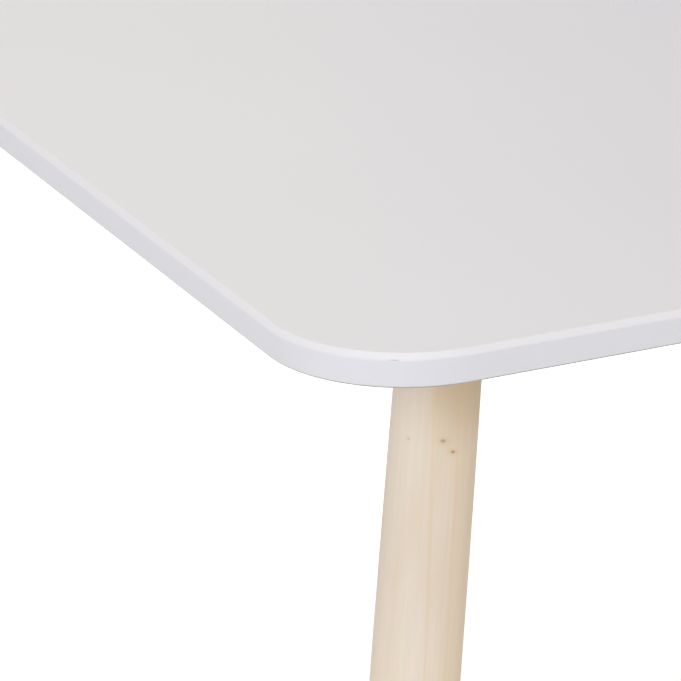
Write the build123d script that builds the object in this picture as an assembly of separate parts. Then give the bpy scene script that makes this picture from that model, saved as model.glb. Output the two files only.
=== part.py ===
from build123d import *
import math
import os

# A children's table with two matching chairs: lacquered boards on splayed, turned pine legs.
# Millimetres and degrees. +Z is up, and the origin is on the floor under the middle of the table.
# Chair 1 stands on the -X side and faces +X, chair 2 stands opposite and faces it.

# --- boards -----------------------------------------------------------------------------------
BOARD_THICKNESS = 12
BOARD_BEVEL = 2
BEVEL_ARRIS = 1
LOWER_ARRIS = 0.8

# --- table ------------------------------------------------------------------------------------
TABLE_SIDE = 630
TABLE_HEIGHT = 480
TABLE_CORNER_RADIUS = 50
TABLE_LEG_INSET = 85
TABLE_LEG_TOP = 31
TABLE_LEG_MIDDLE = 32.3
TABLE_LEG_FOOT = 23.6
TABLE_PLATE_SIDE = 60
TABLE_PLATE_CUP = 44
TABLE_PLATE_SEAT = 36
TABLE_PLATE_HOLE = 22

# --- chairs -----------------------------------------------------------------------------------
SEAT_DEPTH = 280
SEAT_WIDTH = 300
SEAT_HEIGHT = 280
SEAT_CORNER_RADIUS = 50
SEAT_LEG_INSET = 55
CHAIR_LEG_TOP = 26
CHAIR_LEG_MIDDLE = 27
CHAIR_LEG_FOOT = 20
CHAIR_PLATE_SIDE = 50
CHAIR_PLATE_CUP = 36
CHAIR_PLATE_SEAT = 30
CHAIR_PLATE_HOLE = 18.5
CHAIR_GAP = 90

# --- chair back -------------------------------------------------------------------------------
BACK_LEAN = 8
POST_INSET = 21
POST_SPACING = 226
POST_BOTTOM = 21
POST_MIDDLE = 22
POST_TOP = 18
POST_LENGTH = 232
POST_CROWN = 4
POST_FLAT = 8.5
TENON_DIAMETER = 14
TENON_LENGTH = 9.6
SPOT_FACE_DIAMETER = 18
SPOT_FACE_LEVEL = 10.6
PANEL_WIDTH = 290
PANEL_BOTTOM = 130
PANEL_HEIGHT = 110
PANEL_CORNER_RADIUS = 32
PANEL_FRONT_RADIUS = 400
PANEL_BOLT_HEIGHTS = (155, 215)

# --- legs and their hardware ------------------------------------------------------------------
LEG_SPLAY = 12.4
LEG_TOP_ROUND = 1
PAD_DIAMETER = 18
PAD_THICKNESS = 3
PLATE_THICKNESS = 2
PLATE_CORNER_RADIUS = 9
PLATE_EDGE_ROUND = 0.5
PLATE_DROP = 12
CUP_SEAT_ROUND = 2
CUP_RIM_ROUND = 3
CUP_INNER_ROUND = 1
HANGER_DIAMETER = 8
HANGER_HOLE = 8.6
HANGER_TOP = 2
HANGER_WOOD = 30
HANGER_TIP = 8
HANGER_LEAD = 0.8
NUT_ACROSS_FLATS = 13
NUT_HEIGHT = 6.5
SCREW_LENGTH = 11
SCREW_SHANK = 3.6
SCREW_HEAD = 7.4
SCREW_HEAD_HEIGHT = 1.8
SCREW_TIP = 3
SCREW_POINT = 0.3

# --- chair-back hardware ----------------------------------------------------------------------
POST_SCREW_DIAMETER = 5
POST_SCREW_DEPTH = 34
POST_SCREW_HEAD = 10
POST_SCREW_HEAD_HEIGHT = 3.4
WASHER_DIAMETER = 16
WASHER_THICKNESS = 1.5
BOLT_DIAMETER = 6
BOLT_HOLE = 6.4
BOLT_HEAD = 11
BOLT_HEAD_HEIGHT = 3
BOLT_HEAD_LEVEL = 7.5
BOLT_REACH = 17
BOLT_SOCKET = 4
BOLT_SOCKET_DEPTH = 2
BOLT_HEAD_CHAMFER = 0.6
INSERT_DIAMETER = 9
INSERT_LENGTH = 9
HEAD_CLEARANCE = 1

CORNERS = ((-1, -1), (1, -1), (1, 1), (-1, 1))


def turned(points):
    """A turned piece about Z, from the (radius, height) points of its half section."""
    return revolve(make_face(Plane.XZ * Polyline(*points, close=True)), Axis.Z)


def board(length, width, corner_radius):
    """A lacquered board with its upper face at z = 0 and a small bevel round that face."""
    outline = RectangleRounded(length, width, corner_radius)
    body = extrude(outline, -BOARD_THICKNESS)
    upper = body.faces().sort_by(Axis.Z)[-1].edges()
    body = chamfer(upper, BOARD_BEVEL)
    upper = body.edges().filter_by(lambda e: abs(e.center().Z) < 0.01)
    beneath = body.edges().filter_by(lambda e: abs(e.center().Z + BOARD_BEVEL) < 0.01)
    body = fillet(upper + beneath, BEVEL_ARRIS)
    return fillet(body.faces().sort_by(Axis.Z)[0].edges(), LOWER_ARRIS)


def turned_stick(top, middle, foot, length, crown):
    """A stick turned to one shallow arc, hanging down from its top face, whose edge is rounded."""
    inner = top / 2 - crown
    side = ThreePointArc((top / 2, -crown), (middle / 2, -length / 2), (foot / 2, -length))
    ends = Polyline((foot / 2, -length), (0, -length), (0, 0), (inner, 0))
    halfway = (inner + crown * math.sqrt(0.5), crown * (math.sqrt(0.5) - 1))
    rounding = ThreePointArc((inner, 0), halfway, (top / 2, -crown))
    return revolve(make_face(Plane.XZ * Curve([side, ends, rounding])), Axis.Z)


def turned_leg(top, middle, foot, frame, underside):
    """A leg square at its top, where it meets the plate, and cut level with the floor at its foot."""
    reach = (underside - PAD_THICKNESS) / math.cos(math.radians(LEG_SPLAY)) - PLATE_DROP
    stick = turned_stick(top, middle, foot, reach + foot / 2, LEG_TOP_ROUND)
    stick = frame * Pos(0, 0, -PLATE_DROP) * stick
    return split(stick, Plane.XY.offset(PAD_THICKNESS), keep=Keep.TOP)


def hanger_bolt():
    """Machine thread up through the plate and nut, wood thread down into the leg."""
    radius = HANGER_DIAMETER / 2
    shank = -PLATE_DROP - HANGER_WOOD
    return turned([
        (0, -HANGER_TOP), (radius - HANGER_LEAD, -HANGER_TOP), (radius, -HANGER_TOP - HANGER_LEAD),
        (radius, shank), (radius / 3, shank - HANGER_TIP), (0, shank - HANGER_TIP)])


def weld_nut():
    """A hexagon nut welded to the inner face of the plate's tilted seat."""
    hexagon = RegularPolygon(NUT_ACROSS_FLATS / 2, 6, major_radius=False)
    nut = Pos(0, 0, PLATE_THICKNESS - PLATE_DROP) * extrude(hexagon, NUT_HEIGHT)
    return nut - hanger_bolt()


def countersunk_screw():
    """A wood screw pointing up, its flat head level with z = 0."""
    shank = SCREW_SHANK / 2
    return turned([
        (0, 0), (SCREW_HEAD / 2, 0), (shank, SCREW_HEAD_HEIGHT),
        (shank, SCREW_LENGTH - SCREW_TIP), (SCREW_POINT, SCREW_LENGTH), (0, SCREW_LENGTH)])


def plate_screws(hole):
    """The four screws of one plate, with their heads flush in its lower face."""
    spots = GridLocations(2 * hole, 2 * hole, 2, 2)
    return [Pos(0, 0, -PLATE_THICKNESS) * spot * countersunk_screw() for spot in spots]


def cup(rim_diameter, seat_diameter, depth, seat_round):
    """A drafted plug from a level rim at z = 0 down to the tilted circle that the leg bears on."""
    seat = Rot(0, -LEG_SPLAY, 0) * Pos(0, 0, -depth) * Circle(seat_diameter / 2)
    plug = loft(Sketch() + [Circle(rim_diameter / 2), seat])
    return fillet(plug.edges().sort_by(Axis.Z)[0], seat_round)


def longest_edge(body, level):
    """The longest edge at that height, which on a plate is the rim of its cup."""
    return body.edges().filter_by(lambda e: abs(e.center().Z - level) < 0.01).sort_by(SortBy.LENGTH)[-1]


def leg_plate(side, cup_diameter, seat_diameter, hole):
    """A pressed steel plate: level flange, and a drawn cup whose floor is tilted to the leg."""
    wall = PLATE_THICKNESS
    flange = extrude(RectangleRounded(side, side, PLATE_CORNER_RADIUS), -wall)
    flange = fillet(flange.faces().sort_by(Axis.Z)[0].edges(), PLATE_EDGE_ROUND)
    plate = flange + cup(cup_diameter, seat_diameter, PLATE_DROP, CUP_SEAT_ROUND)
    plate = fillet(longest_edge(plate, -wall), CUP_RIM_ROUND)
    plate -= cup(cup_diameter - 2 * wall, seat_diameter - 2 * wall, PLATE_DROP - wall, CUP_INNER_ROUND)
    plate = fillet(longest_edge(plate, 0), CUP_INNER_ROUND)
    bore = Rot(0, -LEG_SPLAY, 0) * Cylinder(HANGER_HOLE / 2, 4 * PLATE_DROP)
    plate -= bore
    for screw in plate_screws(hole):
        plate -= screw
    return plate


def felt_pad():
    """A round felt pad standing on the floor, its lower edge slightly rounded."""
    pad = extrude(Circle(PAD_DIAMETER / 2), PAD_THICKNESS)
    return fillet(pad.edges().sort_by(Axis.Z)[0], LOWER_ARRIS)


def legs_and_plates(length, width, inset, underside, leg_sizes, plate_sizes):
    """Everything under a board: per corner a leg and a plate, and the small parts in groups."""
    set_of = {"legs": [], "plates": [], "weld_nuts": [], "hanger_bolts": [], "plate_screws": [],
              "felt_pads": []}
    reach = (underside - PAD_THICKNESS) * math.tan(math.radians(LEG_SPLAY))
    for side_x, side_y in CORNERS:
        place = Pos(side_x * (length / 2 - inset), side_y * (width / 2 - inset), underside)
        corner = place * Rot(0, 0, math.degrees(math.atan2(side_y, side_x)))
        tilted = corner * Rot(0, -LEG_SPLAY, 0)
        bolt = tilted * hanger_bolt()
        set_of["legs"].append(turned_leg(*leg_sizes, tilted, underside) - bolt)
        set_of["plates"].append(corner * leg_plate(*plate_sizes))
        set_of["weld_nuts"].append(tilted * weld_nut())
        set_of["hanger_bolts"].append(bolt)
        set_of["plate_screws"] += [corner * screw for screw in plate_screws(plate_sizes[-1])]
        set_of["felt_pads"].append(corner * Pos(reach, 0, -underside) * felt_pad())
    return set_of


def post_frames():
    """The two back posts: z along the post, x towards the centre of the panel's curve."""
    distance = PANEL_FRONT_RADIUS + BOARD_THICKNESS + POST_FLAT
    turn = math.degrees(math.asin(POST_SPACING / 2 / distance))
    back = Pos(POST_INSET - SEAT_DEPTH / 2, 0, SEAT_HEIGHT) * Rot(0, -BACK_LEAN, 0)
    return {name: back * Pos(0, side * POST_SPACING / 2, 0) * Rot(0, 0, -side * turn)
            for name, side in (("left", 1), ("right", -1))}


def post_screw():
    """A pan-head screw up the middle of the post, from under the seat."""
    head_top = -SPOT_FACE_LEVEL - WASHER_THICKNESS
    head = extrude(Pos(0, 0, head_top) * Circle(POST_SCREW_HEAD / 2), -POST_SCREW_HEAD_HEIGHT)
    head = fillet(head.edges().sort_by(Axis.Z)[0], POST_SCREW_HEAD_HEIGHT / 2)
    shank = extrude(Pos(0, 0, head_top) * Circle(POST_SCREW_DIAMETER / 2), POST_SCREW_DEPTH - head_top)
    return head + chamfer(shank.edges().sort_by(Axis.Z)[-1], POST_SCREW_DIAMETER / 4)


def post_washer():
    """The washer between the screw head and the spot face."""
    ring = Circle(WASHER_DIAMETER / 2) - Circle(POST_SCREW_DIAMETER / 2)
    return extrude(Pos(0, 0, -SPOT_FACE_LEVEL) * ring, -WASHER_THICKNESS)


def panel_bolt(height):
    """A socket-head connector bolt, from the back of the post into the panel."""
    along = Pos(-BOLT_HEAD_LEVEL, 0, height) * Rot(0, 90, 0)
    head = extrude(Circle(BOLT_HEAD / 2), -BOLT_HEAD_HEIGHT)
    head = chamfer(head.edges().sort_by(Axis.Z)[0], BOLT_HEAD_CHAMFER)
    shank = extrude(Circle(BOLT_DIAMETER / 2), BOLT_REACH + BOLT_HEAD_LEVEL)
    socket = extrude(RegularPolygon(BOLT_SOCKET / 2, 6, major_radius=False), BOLT_SOCKET_DEPTH)
    return along * (head + shank - Pos(0, 0, -BOLT_HEAD_HEIGHT) * socket)


def panel_insert(height):
    """A threaded insert, driven into the back of the panel."""
    along = Pos(POST_FLAT, 0, height) * Rot(0, 90, 0)
    return along * extrude(Circle(INSERT_DIAMETER / 2) - Circle(BOLT_DIAMETER / 2), INSERT_LENGTH)


def back_post(frame):
    """A turned post: angled shoulder and tenon below, and a flat for the panel in front."""
    stick = turned_stick(POST_TOP, POST_MIDDLE, POST_BOTTOM, POST_LENGTH, POST_CROWN)
    stick = Pos(0, 0, POST_LENGTH) * stick
    stick += extrude(Circle(POST_BOTTOM / 2), -TENON_DIAMETER / 2)
    clear = PANEL_HEIGHT + POST_LENGTH
    stick -= Pos(POST_FLAT + clear / 2, 0, PANEL_BOTTOM + clear / 2) * Box(clear, clear, clear)
    for height in PANEL_BOLT_HEIGHTS:
        across = Pos(0, 0, height) * Rot(0, 90, 0)
        recess = Circle((BOLT_HEAD + HEAD_CLEARANCE) / 2)
        stick -= across * Cylinder(BOLT_HOLE / 2, 2 * POST_BOTTOM)
        stick -= across * extrude(Pos(0, 0, -BOLT_HEAD_LEVEL) * recess, -POST_BOTTOM)
    above_seat = split(frame * stick, Plane.XY.offset(SEAT_HEIGHT), keep=Keep.TOP)
    tenon = extrude(Circle(TENON_DIAMETER / 2), -TENON_LENGTH)
    tenon += extrude(Circle(TENON_DIAMETER / 2), POST_BOTTOM / 2)
    return above_seat + frame * tenon - frame * post_screw()


def back_panel(frames):
    """A board bent to a plain curve, with rounded corners and both faces bevelled."""
    back_radius = PANEL_FRONT_RADIUS + BOARD_THICKNESS
    centre = math.sqrt((back_radius + POST_FLAT) ** 2 - (POST_SPACING / 2) ** 2)
    ring = Circle(back_radius) - Circle(PANEL_FRONT_RADIUS)
    bent = Pos(centre, 0, PANEL_BOTTOM) * extrude(ring, PANEL_HEIGHT)
    outline = Plane.YZ * Pos(0, PANEL_BOTTOM + PANEL_HEIGHT / 2) * RectangleRounded(
        PANEL_WIDTH, PANEL_HEIGHT, PANEL_CORNER_RADIUS)
    panel = bent & extrude(outline, centre / 2, both=True)
    curved = panel.faces().filter_by(GeomType.CYLINDER).sort_by(SortBy.AREA)[-2:]
    panel = chamfer(curved.edges(), BOARD_BEVEL)
    panel = fillet(panel.edges().filter_by(lambda e: e.length > BOARD_THICKNESS), BEVEL_ARRIS)
    panel = Pos(POST_INSET - SEAT_DEPTH / 2, 0, SEAT_HEIGHT) * Rot(0, -BACK_LEAN, 0) * panel
    for frame in frames.values():
        for height in PANEL_BOLT_HEIGHTS:
            bore = Pos(POST_FLAT, 0, height) * Rot(0, 90, 0) * Cylinder(
                INSERT_DIAMETER / 2, 2 * INSERT_LENGTH)
            panel -= frame * bore
    return panel


def seat_board(screws, frames):
    """The seat, with two angled tenon holes that are spot-faced underneath for the washers."""
    seat = Pos(0, 0, SEAT_HEIGHT) * board(SEAT_DEPTH, SEAT_WIDTH, SEAT_CORNER_RADIUS)
    for screw in screws:
        seat -= screw
    for frame in frames.values():
        seat -= frame * Cylinder(TENON_DIAMETER / 2, 4 * BOARD_THICKNESS)
        seat -= frame * extrude(Pos(0, 0, -SPOT_FACE_LEVEL) * Circle(SPOT_FACE_DIAMETER / 2),
                                -BOARD_THICKNESS)
    return seat


def table():
    """The table's nodes by name."""
    underside = TABLE_HEIGHT - BOARD_THICKNESS
    below = legs_and_plates(
        TABLE_SIDE, TABLE_SIDE, TABLE_LEG_INSET, underside,
        (TABLE_LEG_TOP, TABLE_LEG_MIDDLE, TABLE_LEG_FOOT),
        (TABLE_PLATE_SIDE, TABLE_PLATE_CUP, TABLE_PLATE_SEAT, TABLE_PLATE_HOLE))
    top = Pos(0, 0, TABLE_HEIGHT) * board(TABLE_SIDE, TABLE_SIDE, TABLE_CORNER_RADIUS)
    for screw in below["plate_screws"]:
        top -= screw
    return {"top": top} | named(below)


def chair():
    """One chair's nodes by name, facing +X, with the seat's middle over the origin."""
    underside = SEAT_HEIGHT - BOARD_THICKNESS
    below = legs_and_plates(
        SEAT_DEPTH, SEAT_WIDTH, SEAT_LEG_INSET, underside,
        (CHAIR_LEG_TOP, CHAIR_LEG_MIDDLE, CHAIR_LEG_FOOT),
        (CHAIR_PLATE_SIDE, CHAIR_PLATE_CUP, CHAIR_PLATE_SEAT, CHAIR_PLATE_HOLE))
    frames = post_frames()
    nodes = {"seat": seat_board(below["plate_screws"], frames)} | named(below)
    for name, frame in frames.items():
        nodes[f"back_post_{name}"] = back_post(frame)
    nodes["back_panel"] = back_panel(frames)
    spots = [(frame, height) for frame in frames.values() for height in PANEL_BOLT_HEIGHTS]
    nodes["panel_bolts"] = Compound([frame * panel_bolt(height) for frame, height in spots])
    nodes["panel_inserts"] = Compound([frame * panel_insert(height) for frame, height in spots])
    nodes["post_screws"] = Compound([frame * post_screw() for frame in frames.values()])
    nodes["post_washers"] = Compound([frame * post_washer() for frame in frames.values()])
    return nodes


def named(below):
    """Legs and plates as numbered nodes, and each kind of small part as one group."""
    nodes = {}
    for kind, pieces in below.items():
        if kind in ("legs", "plates"):
            word = {"legs": "leg", "plates": "leg_plate"}[kind]
            nodes |= {f"{word}_{number}": piece for number, piece in enumerate(pieces, 1)}
        else:
            nodes[kind] = Compound(pieces)
    return nodes


os.makedirs("parts", exist_ok=True)
for node, shape in table().items():
    export_step(shape, f"parts/table_{node}.step")

chair_nodes = chair()
chair_centre = TABLE_SIDE / 2 + CHAIR_GAP + SEAT_DEPTH / 2
places = {"chair_1": Pos(-chair_centre, 0, 0), "chair_2": Pos(chair_centre, 0, 0) * Rot(0, 0, 180)}
for chair_name, place in places.items():
    for node, shape in chair_nodes.items():
        export_step(place * shape, f"parts/{chair_name}_{node}.step")
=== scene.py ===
# A children's table and two chairs: white lacquered boards on splayed, turned pine legs.
# Lengths are in metres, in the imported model's own frame: z = 0 is the floor, under the table's
# middle, and chair 1 stands on the -X side and faces +X.
import math

import bmesh
import bpy
from mathutils import Matrix, Vector


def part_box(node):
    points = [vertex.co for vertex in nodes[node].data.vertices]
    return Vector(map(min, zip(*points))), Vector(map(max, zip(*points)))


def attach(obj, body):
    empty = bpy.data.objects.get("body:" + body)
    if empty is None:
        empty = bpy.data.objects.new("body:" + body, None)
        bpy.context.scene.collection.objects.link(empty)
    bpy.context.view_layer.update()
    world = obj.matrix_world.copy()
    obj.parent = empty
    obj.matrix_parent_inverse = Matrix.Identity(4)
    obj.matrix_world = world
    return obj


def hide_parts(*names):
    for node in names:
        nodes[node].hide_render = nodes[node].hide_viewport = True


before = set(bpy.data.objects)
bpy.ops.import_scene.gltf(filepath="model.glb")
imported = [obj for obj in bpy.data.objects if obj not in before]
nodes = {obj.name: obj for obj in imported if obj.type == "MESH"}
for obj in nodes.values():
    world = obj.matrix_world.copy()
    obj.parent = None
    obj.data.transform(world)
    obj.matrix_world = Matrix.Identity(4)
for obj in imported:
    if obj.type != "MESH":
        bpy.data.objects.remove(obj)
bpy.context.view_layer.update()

# ---------------------------------------------------------------------------------------------
# Boards: the table top and the two seats. Each is 12 mm MDF, cut with rounded corners, its upper
# edge bevelled on a router table, then sanded, primed and sprayed with satin white lacquer.
# ---------------------------------------------------------------------------------------------
LACQUER = ("#E2E1E5", "#E5E4E8")
# Faces that turn downwards are mixed towards this grey: painted shade under the boards and on their lower
# arris.
UNDERSIDE_SHADE = "#A8A6A3"
SCUFF = "#A3A2A8"
CLOUD_WIDTH = 0.14
PEEL_WIDTH = 0.0022
# The knock's place is measured from the near corner of the table top's box. Its sizes are about
# half its length, depth and height.
KNOCK_PLACE = (0.0253, 0.0065, -0.0020)
KNOCK_TURN = math.radians(-28)
KNOCK_SIZE = (0.0021, 0.0012, 0.00026)

top_low, top_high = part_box("table_top")
near_corner = Vector((top_low.x, top_low.y, top_high.z))


def linear(colour):
    """An sRGB hex colour as linear RGBA."""
    channels = [int(colour[i:i + 2], 16) / 255 for i in (1, 3, 5)]
    return tuple(c / 12.92 if c <= 0.04045 else ((c + 0.055) / 1.055) ** 2.4 for c in channels) + (1.0,)


def add(tree, kind, *values, **settings):
    """Adds a node. Values go to its inputs in order, and settings with a capital letter to the
    inputs of that name. A socket, a node or a list of them is linked there, and anything else is
    set. The other settings are the node's own."""
    node = tree.nodes.new(kind)
    for name, value in settings.items():
        if name[0].islower():
            setattr(node, name, value)
    shown = [entry for entry in node.inputs if entry.enabled]
    named = {entry.name: entry for entry in reversed(shown)}
    wanted = list(zip(shown, values))
    wanted += [
        (named[name.replace("_", " ")], value) for name, value in settings.items() if name[0].isupper()]
    for entry, value in wanted:
        for one in value if isinstance(value, list) else [value]:
            if isinstance(one, bpy.types.Node):
                one = next(way for way in one.outputs if way.enabled)
            if isinstance(one, bpy.types.NodeSocket):
                tree.links.new(one, entry)
            else:
                entry.default_value = one
    return node


def new_material(name):
    """An empty node-based material, and its tree."""
    material = bpy.data.materials.new(name)
    material.use_nodes = True
    material.node_tree.nodes.clear()
    return material, material.node_tree


def dress(node, material):
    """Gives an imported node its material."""
    piece = nodes[node]
    piece.data.materials.clear()
    piece.data.materials.append(material)


def knocked(tree, place):
    """How bare the lacquer is: a small oval with a ragged rim, on the foot of the bevel."""
    in_knock = add(
        tree, "ShaderNodeMapping", place, Location=near_corner + Vector(KNOCK_PLACE),
        Rotation=(0, 0, KNOCK_TURN), Scale=KNOCK_SIZE, vector_type="TEXTURE")
    ragged = add(tree, "ShaderNodeTexNoise", in_knock, Scale=1.7, Detail=2.0).outputs["Fac"]
    far = add(tree, "ShaderNodeVectorMath", in_knock, operation="LENGTH").outputs["Value"]
    reach = add(tree, "ShaderNodeMath", ragged, 1.6, far, operation="MULTIPLY_ADD")
    return add(tree, "ShaderNodeMapRange", reach, 1.9, 0.9, 0.0, 0.75)


def lacquered_mdf():
    """Satin lacquer sprayed on MDF: a clean, very faintly clouded white with soft reflections and
    an orange peel of 2.2 mm. Faces that turn downwards are painted greyer: painted shade under
    the boards and on their lower arris. The table's near corner has one small knock, where a
    scuff shows along the foot of the bevel."""
    material, tree = new_material("Satin lacquered MDF")
    place = add(tree, "ShaderNodeTexCoord").outputs["Object"]
    normal = add(tree, "ShaderNodeNewGeometry").outputs["Normal"]
    upright = add(tree, "ShaderNodeSeparateXYZ", normal).outputs["Z"]
    # Painted shade: the lacquer greys as its face turns downwards.
    shade_beneath = add(tree, "ShaderNodeMapRange", upright, -0.05, -0.4)
    cloud = add(tree, "ShaderNodeTexNoise", place, Scale=1 / CLOUD_WIDTH, Detail=2.0).outputs["Fac"]
    coat = add(tree, "ShaderNodeMix", cloud, linear(LACQUER[0]), linear(LACQUER[1]), data_type="RGBA")
    colour = add(tree, "ShaderNodeMix", shade_beneath, coat, linear(UNDERSIDE_SHADE), data_type="RGBA")
    bare = knocked(tree, place)
    scuffed = add(tree, "ShaderNodeMix", bare, colour, linear(SCUFF), data_type="RGBA")
    peel = add(tree, "ShaderNodeTexNoise", place, Scale=1 / PEEL_WIDTH, Detail=1.0).outputs["Fac"]
    height = add(tree, "ShaderNodeMath", bare, -1.0, peel, operation="MULTIPLY_ADD")
    relief = add(tree, "ShaderNodeBump", Strength=0.05, Distance=0.0001, Height=height)
    shader = add(tree, "ShaderNodeBsdfPrincipled", scuffed, Roughness=0.36, IOR=1.5, Normal=relief)
    add(tree, "ShaderNodeOutputMaterial", shader)
    return material


white_lacquer = lacquered_mdf()
for board in ("table_top", "chair_1_seat", "chair_2_seat"):
    dress(board, white_lacquer)

# ---------------------------------------------------------------------------------------------
# Legs: twelve pine sticks, turned to one shallow swell, square on top where they meet the plate
# and sawn level at the foot. They are sanded and get a clear matt lacquer.
# ---------------------------------------------------------------------------------------------
BODIES = ("table", "chair_1", "chair_2")
CORNERS = (1, 2, 3, 4)
SPLAY = math.radians(12.4)
PLATE_DROP = 0.012
PAD_THICKNESS = 0.003
TABLE_LEG = {"Top": 0.031, "Middle": 0.0323, "Foot": 0.0236}
CHAIR_LEG = {"Top": 0.026, "Middle": 0.027, "Foot": 0.020}
STICK_SIDES = 96
STICK_RINGS = 64
SANDED = 0.0007
EDGE_ANGLE = 40
RING_SPACING = 0.00724
RING_TAPER = -0.0226
RING_DRIFT = 0.0167
RING_SWAY = 0.002
HEART_RINGS = 9
FIBRE_WIDTH = 0.0009
BUNDLE_WIDTH = 0.0038
PATCH_WIDTH = 0.0133
# The sapwood's colours stand at shares of a ring's width, between two ring lines.
SAPWOOD = ((0.08, "#F2E3D2"), (0.6, "#F3E5D3"), (0.86, "#F4E3CF"), (0.97, "#F1DDC4"))
RING_LINE = "#F1DFC9"
HEARTWOOD = "#F7DDB9"
# The resinous stain's colour, which also paints the board's shade on the leg just under it.
HONEY = "#EBD0AE"
RESIN_AND_SHADE = "#DBC19B"
KNOT = "#967450"
KNOT_HALO = "#E6C197"
PITH_DISTANCE = 0.0519
BLOCK_STEP = 0.53
FIRST_TURN = math.radians(-30)
LEG_TURN = 2.4
# These marks are placed from the middle of the first leg's top. The resinous stain, which also
# carries painted shade just under the board, fades out at its reach, and a pin knot's last two
# values are its radius and how dark it is.
RESIN_SHADE_PATCH = (0.009, 0.013, -0.018)
RESIN_SHADE_CORE = 0.004
RESIN_SHADE_REACH = 0.031
PIN_KNOTS = (
    (0.0139, 0.0078, -0.0405, 0.0010, 0.52), (0.0115, 0.0110, -0.0444, 0.0008, 0.66),
    (0.0153, -0.0046, -0.0411, 0.0005, 0.3))


def in_block(number, turn):
    """Where a stick is cut from the pine block: beside the pith, at this turn round it, and so
    many stick lengths along it."""
    return Vector((PITH_DISTANCE * math.cos(turn), PITH_DISTANCE * math.sin(turn), BLOCK_STEP * number))


def growth_rings(tree, grain):
    """The rings counted from the pith, and their colours: cream sapwood between soft ring lines,
    warmer towards the heart. They waver, and lean to the stick so that they run out along it."""
    stretched = add(tree, "ShaderNodeMapping", grain, Scale=(1, 1, 0.08))
    drift = add(tree, "ShaderNodeTexNoise", stretched, Scale=1 / RING_DRIFT, Detail=2.0).outputs["Fac"]
    sway = add(tree, "ShaderNodeMath", drift, 0.5, operation="SUBTRACT")
    flat = add(tree, "ShaderNodeVectorMath", grain, (1, 1, 0), operation="MULTIPLY")
    from_pith = add(tree, "ShaderNodeVectorMath", flat, operation="LENGTH").outputs["Value"]
    rise = add(tree, "ShaderNodeSeparateXYZ", grain).outputs["Z"]
    tapered = add(tree, "ShaderNodeMath", rise, RING_TAPER, from_pith, operation="MULTIPLY_ADD")
    wavy = add(tree, "ShaderNodeMath", sway, RING_SWAY, tapered, operation="MULTIPLY_ADD")
    rings = add(tree, "ShaderNodeMath", wavy, RING_SPACING, operation="DIVIDE")
    season = add(tree, "ShaderNodeMath", rings, operation="FRACT")
    sapwood = add(tree, "ShaderNodeValToRGB", season)
    ramp = sapwood.color_ramp
    ramp.elements[0].color = linear(RING_LINE)
    ramp.elements[1].color = linear(RING_LINE)
    for position, colour in SAPWOOD:
        ramp.elements.new(position).color = linear(colour)
    ageing = add(tree, "ShaderNodeMapRange", rings, HEART_RINGS - 0.3, HEART_RINGS - 1.2, 0.0, 0.45)
    return rings, add(tree, "ShaderNodeMix", ageing, sapwood, linear(HEARTWOOD), data_type="RGBA")


def wood_fibres(tree, grain, wood):
    """The fibres, and the wood with their fine streaks, paler bands and warmer patches of tone."""
    along = add(tree, "ShaderNodeMapping", grain, Scale=(1, 1, 0.02))
    fibre = add(tree, "ShaderNodeTexNoise", along, Scale=1 / FIBRE_WIDTH, Detail=3.0).outputs["Fac"]
    streak = add(tree, "ShaderNodeMapRange", fibre, 0.3, 0.7, 0.975, 1.015)
    fibrous = add(tree, "ShaderNodeVectorMath", wood, Scale=streak, operation="SCALE")
    bundle = add(tree, "ShaderNodeMapping", grain, Scale=(1, 1, 0.05))
    bundles = add(tree, "ShaderNodeTexNoise", bundle, Scale=1 / BUNDLE_WIDTH, Detail=1.0).outputs["Fac"]
    pale = add(tree, "ShaderNodeMapRange", bundles, 0.35, 0.65)
    tint = add(tree, "ShaderNodeMix", pale, linear("#FBFCF7"), linear("#FFFDFD"), data_type="RGBA")
    banded = add(tree, "ShaderNodeVectorMath", fibrous, tint, operation="MULTIPLY")
    patch = add(tree, "ShaderNodeMapping", grain, Scale=(1, 1, 0.25))
    tone = add(tree, "ShaderNodeTexNoise", patch, Scale=1 / PATCH_WIDTH, Detail=1.0).outputs["Fac"]
    warm = add(tree, "ShaderNodeMapRange", tone, 0.5, 0.75, 0.0, 0.3)
    return fibre, add(tree, "ShaderNodeMix", warm, banded, linear(HONEY), data_type="RGBA")


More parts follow.
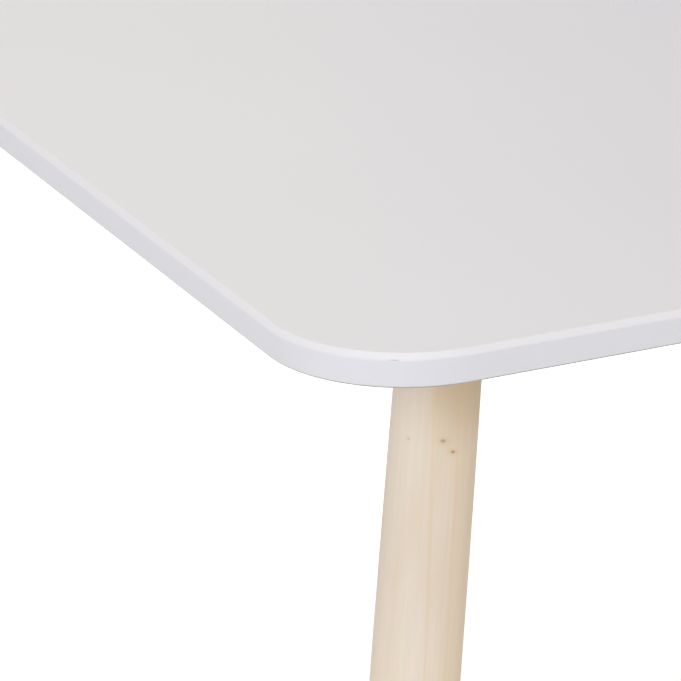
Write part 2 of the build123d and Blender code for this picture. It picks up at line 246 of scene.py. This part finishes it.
def knots_resin_and_shade(tree, grain, rings, wood):
    """The wood with the first leg's marks: a resinous stain, which is stronger inside the
    heartwood's outer ring and also carries painted shade from the board near the leg's top, and a
    few pin knots, each with a brown core in a honey halo."""
    first_leg = in_block(0, FIRST_TURN)
    in_patch = first_leg + Vector(RESIN_SHADE_PATCH)
    from_patch = add(tree, "ShaderNodeVectorMath", grain, in_patch, operation="DISTANCE").outputs["Value"]
    # Painted shade from the board, mixed with a resinous stain: it fades with distance from the patch, and
    # reaches across the ring line at 0.4 of its strength.
    stain_and_shade = add(
        tree, "ShaderNodeMapRange", from_patch, RESIN_SHADE_REACH, RESIN_SHADE_CORE, 0.0, 0.8,
        interpolation_type="SMOOTHSTEP")
    inner = add(tree, "ShaderNodeMapRange", rings, HEART_RINGS + 0.05, HEART_RINGS - 0.15, 0.4, 1.0)
    resin_and_shade = add(tree, "ShaderNodeMath", stain_and_shade, inner, operation="MULTIPLY")
    marked = add(tree, "ShaderNodeMix", resin_and_shade, wood, linear(RESIN_AND_SHADE), data_type="RGBA")
    for x, y, z, radius, darkness in PIN_KNOTS:
        centre = first_leg + Vector((x, y, z))
        aside = add(tree, "ShaderNodeVectorMath", grain, centre, operation="SUBTRACT")
        oval = add(tree, "ShaderNodeVectorMath", aside, (1, 1, 1.5), operation="MULTIPLY")
        far = add(tree, "ShaderNodeVectorMath", oval, operation="LENGTH").outputs["Value"]
        core = add(
            tree, "ShaderNodeMapRange", far, 1.5 * radius, 0.3 * radius, 0.0, darkness,
            interpolation_type="SMOOTHSTEP")
        halo = add(
            tree, "ShaderNodeMapRange", far, 4 * radius, radius, 0.0, 0.6 * darkness,
            interpolation_type="SMOOTHSTEP")
        haloed = add(tree, "ShaderNodeMix", halo, marked, linear(KNOT_HALO), data_type="RGBA")
        marked = add(tree, "ShaderNodeMix", core, haloed, linear(KNOT), data_type="RGBA")
    return marked


def turned_pine():
    """Pine, turned, sanded and matt lacquered: cream sapwood and slightly warmer heartwood, with
    soft honey lines where the growth rings run out along the stick, and faint bands and patches
    of tone. The first leg has a few pin knots beside a resinous stain, which also carries painted
    shade just under the board. The fibres are hair-fine, and are drawn in strands of 0.9 mm so
    that they show."""
    material, tree = new_material("Turned pine")
    grain = add(tree, "ShaderNodeAttribute", attribute_name="grain").outputs["Vector"]
    rings, wood = growth_rings(tree, grain)
    fibre, fibrous = wood_fibres(tree, grain, wood)
    marked = knots_resin_and_shade(tree, grain, rings, fibrous)
    relief = add(tree, "ShaderNodeBump", Strength=0.12, Distance=0.0002, Height=fibre)
    shader = add(tree, "ShaderNodeBsdfPrincipled", marked, Roughness=0.55, IOR=1.45, Normal=relief)
    add(tree, "ShaderNodeOutputMaterial", shader)
    return material


def swelling_radius(tree, size, depth):
    """The stick's radius at this depth: one curve from its top, through its middle, to its foot."""
    share = add(tree, "ShaderNodeMath", depth, size["Blank"], operation="DIVIDE")
    ends = add(tree, "ShaderNodeMath", size["Top"], size["Foot"], operation="ADD")
    twice = add(tree, "ShaderNodeMath", size["Middle"], 2.0, operation="MULTIPLY")
    swell = add(tree, "ShaderNodeMath", ends, -0.5, twice, operation="MULTIPLY_ADD")
    upper = add(tree, "ShaderNodeMix", share, size["Top"], swell)
    lower = add(tree, "ShaderNodeMix", share, swell, size["Foot"])
    diameter = add(tree, "ShaderNodeMix", share, upper, lower)
    return add(tree, "ShaderNodeMath", diameter, 0.5, operation="MULTIPLY")


def level_foot(tree, size, stick, x, depth):
    """The stick with its foot slanted, so that it stands level once the stick is splayed."""
    reach = add(tree, "ShaderNodeMath", depth, size["Length"], operation="DIVIDE")
    near_foot = add(tree, "ShaderNodeMapRange", reach, 0.9, 1.0)
    slope = add(tree, "ShaderNodeMath", x, size["Slant"], operation="MULTIPLY")
    shear = add(tree, "ShaderNodeMath", slope, near_foot, operation="MULTIPLY")
    drop = add(tree, "ShaderNodeMath", shear, -1.0, operation="MULTIPLY")
    return add(tree, "GeometryNodeSetPosition", stick, Offset=add(tree, "ShaderNodeCombineXYZ", Z=drop))


def turned_stick(wood):
    """A stick that hangs from the origin: a circle swept down a line, and marked with its own
    place in the pine block before its foot is levelled."""
    tree = bpy.data.node_groups.new("Turned stick", "GeometryNodeTree")
    tree.interface.new_socket("Geometry", in_out="OUTPUT", socket_type="NodeSocketGeometry")
    for name in ("Top", "Middle", "Foot", "Length", "Blank", "Slant"):
        tree.interface.new_socket(name, in_out="INPUT", socket_type="NodeSocketFloat")
    tree.interface.new_socket("Grain Offset", in_out="INPUT", socket_type="NodeSocketVector")
    size = add(tree, "NodeGroupInput").outputs
    here = add(tree, "GeometryNodeInputPosition")
    x, _, z = add(tree, "ShaderNodeSeparateXYZ", here).outputs
    depth = add(tree, "ShaderNodeMath", z, -1.0, operation="MULTIPLY")
    bottom = add(tree, "ShaderNodeMath", size["Length"], -1.0, operation="MULTIPLY")
    end = add(tree, "ShaderNodeCombineXYZ", Z=bottom)
    line = add(tree, "GeometryNodeCurvePrimitiveLine", End=end)
    points = add(tree, "GeometryNodeResampleCurve", line, Count=STICK_RINGS)
    radius = swelling_radius(tree, size, depth)
    circle = add(tree, "GeometryNodeCurvePrimitiveCircle", Resolution=STICK_SIDES, Radius=1.0)
    stick = add(tree, "GeometryNodeCurveToMesh", points, circle, radius, True)
    in_wood = add(tree, "ShaderNodeVectorMath", here, size["Grain Offset"], operation="ADD")
    marked = add(
        tree, "GeometryNodeStoreNamedAttribute", stick, Name="grain", Value=in_wood,
        data_type="FLOAT_VECTOR", domain="POINT")
    level = level_foot(tree, size, marked, x, depth)
    real = add(tree, "GeometryNodeRealizeInstances", level)
    add(tree, "NodeGroupOutput", add(tree, "GeometryNodeSetMaterial", real, Material=wood))
    return tree


def grown(name, tree, sizes, place, points=()):
    """A piece that a Geometry Nodes tree makes with these sizes, and at these points if it has
    any, as a plain mesh in its place."""
    dots = bpy.data.meshes.new(name + "_points")
    dots.from_pydata(points, [], [])
    maker = bpy.data.objects.new(name + "_maker", dots)
    bpy.context.scene.collection.objects.link(maker)
    modifier = maker.modifiers.new("Shape", "NODES")
    modifier.node_group = tree
    for item in tree.interface.items_tree:
        if item.in_out == "INPUT" and item.name in sizes:
            modifier[item.identifier] = sizes[item.name]
    mesh = bpy.data.meshes.new_from_object(maker.evaluated_get(bpy.context.evaluated_depsgraph_get()))
    bpy.data.objects.remove(maker)
    mesh.transform(place)
    mesh.name = name
    piece = bpy.data.objects.new(name, mesh)
    bpy.context.scene.collection.objects.link(piece)
    return piece


def smooth(piece, angle):
    """Shades a piece smooth, except across edges sharper than this angle in degrees."""
    for polygon in piece.data.polygons:
        polygon.use_smooth = True
    piece.data.set_sharp_from_angle(angle=math.radians(angle))


def under_board(body, corner):
    """The frame of one leg's corner at the board's underside, its X pointing outwards."""
    low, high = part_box(f"{body}_leg_plate_{corner}")
    board_low, board_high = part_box("table_top" if body == "table" else f"{body}_seat")
    middle = (low + high) / 2
    outwards = middle - (board_low + board_high) / 2
    turn = math.atan2(math.copysign(1, outwards.y), math.copysign(1, outwards.x))
    return Matrix.Translation((middle.x, middle.y, board_low.z)) @ Matrix.Rotation(turn, 4, "Z")


pine = turned_pine()
stick_tree = turned_stick(pine)
sticks = [(body, corner) for body in BODIES for corner in CORNERS]
for number, (body, corner) in enumerate(sticks):
    sizes = TABLE_LEG if body == "table" else CHAIR_LEG
    under = under_board(body, corner)
    splayed = under @ Matrix.Rotation(-SPLAY, 4, "Y") @ Matrix.Translation((0, 0, -PLATE_DROP))
    length = (under.translation.z - PAD_THICKNESS) / math.cos(SPLAY) - PLATE_DROP
    cut = {
        "Length": length, "Blank": length + sizes["Foot"] / 2, "Slant": math.tan(SPLAY),
        "Grain Offset": in_block(number, FIRST_TURN + LEG_TURN * number)}
    leg = grown(f"{body}_pine_leg_{corner}", stick_tree, sizes | cut, splayed)
    smooth(leg, EDGE_ANGLE)
    rounding = leg.modifiers.new("Sanded ends", "BEVEL")
    rounding.width = SANDED
    rounding.segments = 3
    rounding.limit_method = "ANGLE"
    rounding.angle_limit = math.radians(EDGE_ANGLE)
    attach(leg, body)
    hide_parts(f"{body}_leg_{corner}")

# ---------------------------------------------------------------------------------------------
# Leg plates, weld nuts and hanger bolts: 2 mm steel pressed to a tilted cup, with a nut welded
# inside it for the bolt that is screwed into the leg. All of it is bright zinc plated.
# ---------------------------------------------------------------------------------------------
ZINC = ("#BFC3C6", "#D3D6D8")
MOTTLE_WIDTH = 0.00625
ROLLING_PITCH = 0.0004
ROLLING_TURN = 0.6


def zinc_plate():
    """Bright zinc plating on pressed steel: a cool grey metal, its gloss broken by soft cloudy
    marks from the press and the barrel, and by rolling lines. The lines are far finer, and are
    drawn 0.4 mm apart so that they show."""
    material, tree = new_material("Bright zinc plated steel")
    place = add(tree, "ShaderNodeTexCoord").outputs["Object"]
    cloud = add(tree, "ShaderNodeTexNoise", place, Scale=1 / MOTTLE_WIDTH, Detail=4.0).outputs["Fac"]
    colour = add(tree, "ShaderNodeMix", cloud, linear(ZINC[0]), linear(ZINC[1]), data_type="RGBA")
    gloss = add(tree, "ShaderNodeMapRange", cloud, 0.3, 0.7, 0.24, 0.42)
    rolled = add(tree, "ShaderNodeMapping", place, Rotation=(0, 0, ROLLING_TURN), Scale=(0.06, 1, 1))
    lines = add(tree, "ShaderNodeTexNoise", rolled, Scale=1 / ROLLING_PITCH, Detail=2.0).outputs["Fac"]
    relief = add(tree, "ShaderNodeBump", Strength=0.1, Distance=0.0001, Height=lines)
    shader = add(tree, "ShaderNodeBsdfPrincipled", colour, Metallic=1.0, Roughness=gloss, Normal=relief)
    add(tree, "ShaderNodeOutputMaterial", shader)
    return material


zinc = zinc_plate()
for body in BODIES:
    for node in ("leg_plate_1", "leg_plate_2", "leg_plate_3", "leg_plate_4", "weld_nuts", "hanger_bolts"):
        dress(f"{body}_{node}", zinc)

# ---------------------------------------------------------------------------------------------
# Plate screws: four countersunk screws with a cross recess hold each plate to its board. They
# are upset and rolled from wire, zinc plated, and stop at any angle when they are driven home.
# ---------------------------------------------------------------------------------------------
PLATE_STEEL = 0.002
# A plate's screws stand this far from its middle, both ways.
SCREW_REACH = {"table": 0.022, "chair_1": 0.0185, "chair_2": 0.0185}
SCREW_SIDES = 24
ARM_SHARE = 0.22
# A screw's rings run from its head to its tip. Each has its radius, and its level above the
# plate's lower face, where its head is flush.
PLATE_SCREW = (
    (0.0037, 0.0), (0.0018, 0.0018), (0.0018, 0.0079), (0.0018, 0.008), (0.0012, 0.009), (0.0003, 0.0109),
    (0.0001, 0.011))
PLATE_RECESS = {"Recess": 0.0042, "Recess Depth": 0.0014}
SCREW_RINGS = len(PLATE_SCREW)


def cross_arms(tree, size):
    """The two crossed blocks that are cut out of a screw's head."""
    narrow = add(tree, "ShaderNodeMath", size["Recess"], ARM_SHARE, operation="MULTIPLY")
    high = add(tree, "ShaderNodeMath", size["Recess Depth"], 2.0, operation="MULTIPLY")
    top = add(tree, "ShaderNodeVectorMath", size["Ring 0"], (0, 0, 1), operation="MULTIPLY")
    arms = []
    for wide, deep in ((size["Recess"], narrow), (narrow, size["Recess"])):
        arm = add(tree, "GeometryNodeMeshCube", add(tree, "ShaderNodeCombineXYZ", wide, deep, high))
        arms.append(add(tree, "GeometryNodeTransform", arm.outputs["Mesh"], Translation=top))
    return arms


def driven_screws(steel):
    """A screw on each point of the mesh: its rings swept up a line, a cross cut into its head,
    and each screw turned by chance about its own axis."""
    tree = bpy.data.node_groups.new("Driven screws", "GeometryNodeTree")
    tree.interface.new_socket("Geometry", in_out="OUTPUT", socket_type="NodeSocketGeometry")
    tree.interface.new_socket("Points", in_out="INPUT", socket_type="NodeSocketGeometry")
    for number in range(SCREW_RINGS):
        tree.interface.new_socket(f"Ring {number}", in_out="INPUT", socket_type="NodeSocketVector")
    for name in ("Recess", "Recess Depth"):
        tree.interface.new_socket(name, in_out="INPUT", socket_type="NodeSocketFloat")
    tree.interface.new_socket("Seed", in_out="INPUT", socket_type="NodeSocketInt")
    size = add(tree, "NodeGroupInput").outputs
    ring = add(tree, "GeometryNodeIndexSwitch", add(tree, "GeometryNodeInputIndex"), data_type="VECTOR")
    while len(ring.index_switch_items) < SCREW_RINGS:
        ring.index_switch_items.new()
    for number in range(SCREW_RINGS):
        tree.links.new(size[f"Ring {number}"], ring.inputs[number + 1])
    radius, _, level = add(tree, "ShaderNodeSeparateXYZ", ring).outputs
    line = add(tree, "GeometryNodeCurvePrimitiveLine")
    stations = add(tree, "GeometryNodeResampleCurve", line, Count=SCREW_RINGS)
    spine = add(
        tree, "GeometryNodeSetPosition", stations, Position=add(tree, "ShaderNodeCombineXYZ", Z=level))
    circle = add(tree, "GeometryNodeCurvePrimitiveCircle", Resolution=SCREW_SIDES, Radius=1.0)
    blank = add(tree, "GeometryNodeCurveToMesh", spine, circle, radius, True)
    arms = cross_arms(tree, size)
    screw = add(tree, "GeometryNodeMeshBoolean", blank, arms, operation="DIFFERENCE", solver="MANIFOLD")
    turn = add(
        tree, "FunctionNodeRandomValue", (0, 0, 0), (0, 0, math.tau), Seed=size["Seed"],
        data_type="FLOAT_VECTOR")
    placed = add(tree, "GeometryNodeInstanceOnPoints", size["Points"], Instance=screw, Rotation=turn)
    real = add(tree, "GeometryNodeRealizeInstances", placed)
    add(tree, "NodeGroupOutput", add(tree, "GeometryNodeSetMaterial", real, Material=steel))
    return tree


def drive(body, kind, profile, recess, seed, place, points):
    """Drives a body's screws of one kind home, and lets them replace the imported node."""
    rings = {f"Ring {number}": (radius, 0, level) for number, (radius, level) in enumerate(profile)}
    screws = grown(f"{body}_driven_{kind}", screw_tree, rings | recess | {"Seed": seed}, place, points)
    smooth(screws, angle=35)
    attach(screws, body)
    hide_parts(f"{body}_{kind}")


screw_tree = driven_screws(zinc)
for seed, body in enumerate(BODIES):
    reach = SCREW_REACH[body]
    points = [
        under_board(body, corner) @ Vector((x * reach, y * reach, -PLATE_STEEL))
        for corner in CORNERS for x in (-1, 1) for y in (-1, 1)]
    drive(body, "plate_screws", PLATE_SCREW, PLATE_RECESS, seed, Matrix(), points)

# ---------------------------------------------------------------------------------------------
# Felt pads: round pads punched from 3 mm pressed wool felt, and glued under the feet so that the
# pine doesn't scratch the floor.
# ---------------------------------------------------------------------------------------------
WOOL = ("#B9B3A8", "#DAD5CB")
TUFT_WIDTH = 0.00067


def wool_felt():
    """Pressed wool felt: a matt, slightly mottled warm grey. Its short fibres are far finer, and
    are drawn as tangled tufts of 0.7 mm so that they show."""
    material, tree = new_material("Pressed wool felt")
    place = add(tree, "ShaderNodeTexCoord").outputs["Object"]
    tangle = add(
        tree, "ShaderNodeTexNoise", place, Scale=1 / TUFT_WIDTH, Detail=4.0, Distortion=1.5).outputs["Fac"]
    mottle = add(tree, "ShaderNodeMix", tangle, linear(WOOL[0]), linear(WOOL[1]), data_type="RGBA")
    relief = add(tree, "ShaderNodeBump", Strength=0.6, Distance=0.0004, Height=tangle)
    shader = add(
        tree, "ShaderNodeBsdfPrincipled", mottle, Roughness=0.95, Sheen_Weight=0.3,
        Sheen_Roughness=0.5, Normal=relief)
    add(tree, "ShaderNodeOutputMaterial", shader)
    return material


felt = wool_felt()
for body in BODIES:
    dress(f"{body}_felt_pads", felt)

# ---------------------------------------------------------------------------------------------
# Back posts: two turned pine posts lean back from each seat, each with its tenon in the board, a
# flat spot in front for the back panel, and recesses behind for the heads of the panel's bolts.
# ---------------------------------------------------------------------------------------------
CHAIRS = ("chair_1", "chair_2")
SIDES = {"left": 1, "right": -1}
POST_INSET = 0.021
POST_APART = 0.226
BACK_LEAN = math.radians(8)
POST_TURN = 1.1
SIDE_TURN = 2.3
DOUBLES = 1e-6


def merged(mesh):
    """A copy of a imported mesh, its doubled points joined."""
    copy = mesh.copy()
    work = bmesh.new()
    work.from_mesh(copy)
    bmesh.ops.remove_doubles(work, verts=work.verts, dist=DOUBLES)
    work.to_mesh(copy)
    work.free()
    return copy


def back_frame(body):
    """The leaning frame of a chair's back: on the seat, midway between the posts, X forward."""
    low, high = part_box(f"{body}_seat")
    on_seat = Matrix.Translation(((low.x + high.x) / 2, (low.y + high.y) / 2, high.z))
    facing = Matrix.Rotation(math.pi if body == "chair_2" else 0, 4, "Z")
    to_back = Matrix.Translation((POST_INSET - (high.x - low.x) / 2, 0, 0))
    return on_seat @ facing @ to_back @ Matrix.Rotation(-BACK_LEAN, 4, "Y")


for number, body in enumerate(CHAIRS):
    for name, side in SIDES.items():
        mesh = merged(nodes[f"{body}_back_post_{name}"].data)
        along_post = (back_frame(body) @ Matrix.Translation((0, side * POST_APART / 2, 0))).inverted()
        offset = in_block(len(sticks) + 2 * number + side, POST_TURN + SIDE_TURN * side + number)
        grain = mesh.attributes.new("grain", "FLOAT_VECTOR", "POINT")
        for vertex, entry in zip(mesh.vertices, grain.data):
            entry.vector = along_post @ vertex.co + offset
        mesh.materials.clear()
        mesh.materials.append(pine)
        post = bpy.data.objects.new(f"{body}_pine_post_{name}", mesh)
        bpy.context.scene.collection.objects.link(post)
        smooth(post, angle=30)
        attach(post, body)
        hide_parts(f"{body}_back_post_{name}")

# ---------------------------------------------------------------------------------------------
# Back panels: thin plies moulded to a plain curve, cut with rounded corners and bevelled round
# both faces. They are lacquered as the boards are, and bolted to the posts.
# ---------------------------------------------------------------------------------------------
for body in CHAIRS:
    dress(f"{body}_back_panel", white_lacquer)
    for node in ("panel_bolts", "panel_inserts"):
        dress(f"{body}_{node}", zinc)

# ---------------------------------------------------------------------------------------------
# Post screws: a pan-head screw and a washer under the seat pull each post's tenon down. They are
# made as the plate screws are, and their levels are measured from the top of the seat.
# ---------------------------------------------------------------------------------------------
POST_SCREW = (
    (0.0030, -0.0155), (0.0042, -0.0151), (0.0049, -0.0141), (0.0050, -0.0136), (0.0050, -0.0121),
    (0.0025, -0.01209), (0.0025, 0.0339))
POST_RECESS = {"Recess": 0.0052, "Recess Depth": 0.0019}
POST_SEED = 7

points = [(0, side * POST_APART / 2, 0) for side in SIDES.values()]
for seed, body in enumerate(CHAIRS, POST_SEED):
    dress(f"{body}_post_washers", zinc)
    drive(body, "post_screws", POST_SCREW, POST_RECESS, seed, back_frame(body), points)

# ---------------------------------------------------------------------------------------------
# Studio: a white paper floor that keeps a soft shadow, a white room with one dim corner that the
# lacquer mirrors softly, a large warm softbox overhead, and a cooler one low in front.
# ---------------------------------------------------------------------------------------------
FLOOR_HALF = 4
DIM_WAY = (0.708, 0.684, 0.174)
DIM_BLUE = "#7880BC"


def studio_paper():
    """Matt white paper: pale to the light, plain white in reflections, and to the eye so bright
    that only the soft shadow under the boards and round the feet stays below white."""
    material, tree = new_material("White studio paper")
    ray = add(tree, "ShaderNodeLightPath").outputs
    paper = add(tree, "ShaderNodeBsdfDiffuse", linear("#F0F0F0"))
    white = add(tree, "ShaderNodeEmission", Strength=1.0)
    place = add(tree, "ShaderNodeTexCoord").outputs["Object"]
    away = add(tree, "ShaderNodeVectorMath", place, operation="LENGTH").outputs["Value"]
    glow = add(tree, "ShaderNodeEmission", Strength=add(
        tree, "ShaderNodeMapRange", away, 1.0, 2.5, 0.08, 0.25))
    matt = add(tree, "ShaderNodeBsdfDiffuse", (1, 1, 1, 1))
    lifted = add(tree, "ShaderNodeAddShader", glow, add(tree, "ShaderNodeAddShader", matt, matt))
    reflected = add(tree, "ShaderNodeMixShader", ray["Is Glossy Ray"], paper, white)
    add(tree, "ShaderNodeOutputMaterial", add(
        tree, "ShaderNodeMixShader", ray["Is Camera Ray"], reflected, lifted))
    return material


def white_room(walls, ceiling):
    """The world: softly lit walls under a dim ceiling. It is plain white to the eye, and also in
    reflections, except for one dim bluish corner."""
    world = bpy.data.worlds.new("White room")
    world.use_nodes = True
    tree = world.node_tree
    tree.nodes.clear()
    ray = add(tree, "ShaderNodeLightPath").outputs
    way = add(tree, "ShaderNodeTexCoord").outputs["Generated"]
    height = add(tree, "ShaderNodeSeparateXYZ", way).outputs["Z"]
    level = add(tree, "ShaderNodeMapRange", height, 0.45, 0.55, walls, ceiling)
    light = add(tree, "ShaderNodeBackground", (1, 1, 1, 1), level)
    white = add(tree, "ShaderNodeBackground", (1, 1, 1, 1), 1.0)
    towards = add(tree, "ShaderNodeVectorMath", way, DIM_WAY, operation="DOT_PRODUCT").outputs["Value"]
    dim = add(tree, "ShaderNodeMapRange", towards, 0.92, 0.985)
    hue = add(tree, "ShaderNodeMix", dim, (1, 1, 1, 1), linear(DIM_BLUE), data_type="RGBA")
    mirrored = add(tree, "ShaderNodeBackground", hue, 1.0)
    unseen = add(tree, "ShaderNodeMixShader", ray["Is Glossy Ray"], light, mirrored)
    add(tree, "ShaderNodeOutputWorld", add(
        tree, "ShaderNodeMixShader", ray["Is Camera Ray"], unseen, white))
    bpy.context.scene.world = world


def side_of(azimuth, elevation):
    """The side that something is seen or lit from, as a direction. Azimuth 0 is the -Y side."""
    turn, tilt = math.radians(azimuth), math.radians(elevation)
    return Vector((math.sin(turn) * math.cos(tilt), -math.cos(turn) * math.cos(tilt), math.sin(tilt)))


def softbox(name, azimuth, elevation, distance, width, height, power, colour):
    """An area lamp that faces the table's near corner from that side."""
    lamp = bpy.data.lights.new(name, "AREA")
    lamp.shape = "RECTANGLE"
    lamp.size = width
    lamp.size_y = height
    lamp.energy = power
    lamp.color = linear(colour)[:3]
    holder = bpy.data.objects.new(name, lamp)
    back = side_of(azimuth, elevation)
    holder.location = near_corner + back * distance
    holder.rotation_euler = (-back).to_track_quat("-Z", "Y").to_euler()
    bpy.context.scene.collection.objects.link(holder)


floor_mesh = bpy.data.meshes.new("floor")
floor_mesh.from_pydata(
    [(x * FLOOR_HALF, y * FLOOR_HALF, 0) for x, y in ((-1, -1), (1, -1), (1, 1), (-1, 1))],
    [], [(0, 1, 2, 3)])
floor = bpy.data.objects.new("floor", floor_mesh)
floor.data.materials.append(studio_paper())
bpy.context.scene.collection.objects.link(floor)

white_room(walls=0.98, ceiling=0.2)
softbox(
    "overhead_softbox", azimuth=0, elevation=90, distance=2.2, width=2.2, height=2.2, power=29.4,
    colour="#FFF8EA")
softbox(
    "front_softbox", azimuth=-45, elevation=20, distance=2.0, width=2.8, height=1.3, power=15.2,
    colour="#EAF0FF")

# ---------------------------------------------------------------------------------------------
# Camera: a long lens, 1.2 m from the table's near corner and on chair 1's side of it. It looks
# down by 21 degrees at the corner, the two edges of the board, and the top of one leg.
# ---------------------------------------------------------------------------------------------
VIEW_AZIMUTH = -25.94
VIEW_ELEVATION = 21.14
VIEW_DISTANCE = 1.2027
AIM_RIGHT = 0.0022
AIM_UP = 0.0109
FOCAL_LENGTH = 195.1
SENSOR_WIDTH = 36
FAR_LIMIT = 500

back = side_of(VIEW_AZIMUTH, VIEW_ELEVATION)
right = Vector((0, 0, 1)).cross(back).normalized()
up = back.cross(right)
lens = bpy.data.cameras.new("camera")
lens.lens = FOCAL_LENGTH
lens.sensor_width = SENSOR_WIDTH
lens.clip_end = FAR_LIMIT
camera = bpy.data.objects.new("camera", lens)
camera.location = near_corner + right * AIM_RIGHT + up * AIM_UP + back * VIEW_DISTANCE
camera.rotation_euler = (-back).to_track_quat("-Z", "Y").to_euler()
bpy.context.scene.collection.objects.link(camera)
bpy.context.scene.camera = camera
bpy.context.scene.view_settings.view_transform = "Standard"
